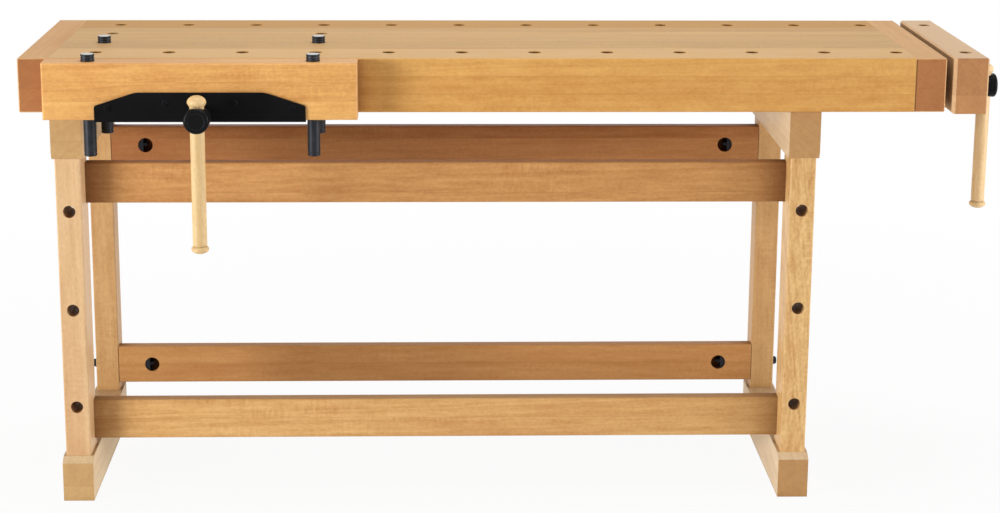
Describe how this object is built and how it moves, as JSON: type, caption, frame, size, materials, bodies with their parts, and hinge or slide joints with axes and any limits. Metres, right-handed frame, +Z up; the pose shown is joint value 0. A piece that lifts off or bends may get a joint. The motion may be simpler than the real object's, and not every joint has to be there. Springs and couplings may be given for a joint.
{
  "type": "woodworking bench with front and end vises",
  "caption": "Cabinetmaker's workbench with dog-holed beech top, front and end screw vises, round steel bench dogs and sled-foot leg frames tied by stretchers.",
  "frame": {"origin": "on the floor, below the middle of the whole outline at rest, vises included", "axes": "+X along the bench from the front vise's end to the end vise, +Y from the front to the back, +Z up"},
  "size_m": [1.997, 0.641, 0.934],
  "materials": {
    "oiled_beech_apron": "oiled beech, golden, satin",
    "pale_beech_panel": "oiled beech, pale, satin",
    "oiled_beech_cap": "oiled beech, reddish end grain at the front, satin",
    "plain_beech": "plain unoiled beech",
    "oiled_beech_leg": "oiled beech, pale, satin",
    "red_beech_stretcher": "oiled steamed beech, red-brown, satin",
    "oiled_beech_jaw": "oiled beech, golden, satin",
    "pale_turned_beech": "turned beech, cream, smooth",
    "black_painted_steel": "black powder coat, satin",
    "blackened_steel": "blackened, satin",
    "bright_steel": "turned bright steel",
    "zinc_steel": "zinc plated",
    "bronze": "cast bronze, turned"
  },
  "bodies": {
    "bench": {"front_apron": "oiled_beech_apron", "rear_apron": "oiled_beech_apron", "front_panel_board": "pale_beech_panel", "rear_panel_board": "pale_beech_panel", "left_end_cap": "oiled_beech_cap", "right_end_cap": "oiled_beech_cap", "left_batten": "plain_beech", "left_bearer": "oiled_beech_leg", "left_foot": "oiled_beech_leg", "left_front_post": "oiled_beech_leg", "left_rear_post": "oiled_beech_leg", "right_batten": "plain_beech", "right_bearer": "oiled_beech_leg", "right_foot": "oiled_beech_leg", "right_front_post": "oiled_beech_leg", "right_rear_post": "oiled_beech_leg", "front_upper_stretcher": "red_beech_stretcher", "front_lower_stretcher": "red_beech_stretcher", "rear_upper_stretcher": "red_beech_stretcher", "rear_lower_stretcher": "red_beech_stretcher", "stretcher_bolts": "blackened_steel", "stretcher_nuts": "blackened_steel", "top_bolts": "zinc_steel", "front_bracket": "black_painted_steel", "front_nut": "bronze", "front_bracket_screws": "zinc_steel", "end_bracket": "black_painted_steel", "end_nut": "bronze", "end_bracket_screws": "zinc_steel"},
    "front_jaw": {"front_jaw": "oiled_beech_jaw", "front_jaw_plate": "black_painted_steel", "front_plate_screws": "blackened_steel", "front_guide_rods": "bright_steel"},
    "front_screw": {"front_screw": "bright_steel", "front_hub": "black_painted_steel", "front_retaining_ring": "zinc_steel"},
    "front_handle": {"front_handle_bar": "pale_turned_beech", "front_handle_knob": "pale_turned_beech"},
    "end_jaw": {"end_jaw": "oiled_beech_jaw", "end_jaw_plate": "black_painted_steel", "end_plate_screws": "blackened_steel", "end_guide_rods": "bright_steel"},
    "end_screw": {"end_screw": "bright_steel", "end_hub": "black_painted_steel", "end_retaining_ring": "zinc_steel"},
    "end_handle": {"end_handle_bar": "pale_turned_beech", "end_handle_knob": "pale_turned_beech"},
    "left_jaw_dog": {"left_jaw_dog": "blackened_steel"},
    "left_top_dog": {"left_top_dog": "blackened_steel"},
    "right_jaw_dog": {"right_jaw_dog": "blackened_steel"},
    "right_top_dog": {"right_top_dog": "blackened_steel"}
  },
  "joints": [
    {"name": "front_jaw_slide", "type": "slide", "parent": "bench", "child": "front_jaw", "axis": [0, -1, 0], "range_m": [0, 0.138]},
    {"name": "front_screw_turn", "type": "hinge", "parent": "front_jaw", "child": "front_screw", "pos_m": [-0.6376, -0.2385, 0.821], "axis": [0, -1, 0], "range_deg": [0, 8280]},
    {"name": "front_handle_slide", "type": "slide", "parent": "front_screw", "child": "front_handle", "axis": [0, 0, 1], "range_m": [0, 0.215]},
    {"name": "end_jaw_slide", "type": "slide", "parent": "bench", "child": "end_jaw", "axis": [1, 0, 0], "range_m": [-0.015, 0.123]},
    {"name": "end_screw_turn", "type": "hinge", "parent": "end_jaw", "child": "end_screw", "pos_m": [0.9165, 0.0705, 0.821], "axis": [1, 0, 0], "range_deg": [-900, 7380]},
    {"name": "end_handle_slide", "type": "slide", "parent": "end_screw", "child": "end_handle", "axis": [0, 0, 1], "range_m": [0, 0.215]},
    {"name": "left_jaw_dog_lift", "type": "slide", "parent": "front_jaw", "child": "left_jaw_dog", "axis": [0, 0, 1], "range_m": [0, 0.2]},
    {"name": "left_top_dog_lift", "type": "slide", "parent": "bench", "child": "left_top_dog", "axis": [0, 0, 1], "range_m": [0, 0.2]},
    {"name": "right_jaw_dog_lift", "type": "slide", "parent": "front_jaw", "child": "right_jaw_dog", "axis": [0, 0, 1], "range_m": [0, 0.2]},
    {"name": "right_top_dog_lift", "type": "slide", "parent": "bench", "child": "right_top_dog", "axis": [0, 0, 1], "range_m": [0, 0.2]}
  ],
  "couplings": [
    {"joint": "front_jaw_slide", "follows": "front_screw_turn", "m_per_rad": 0.00095493},
    {"joint": "end_jaw_slide", "follows": "end_screw_turn", "m_per_rad": 0.00095493}
  ]
}
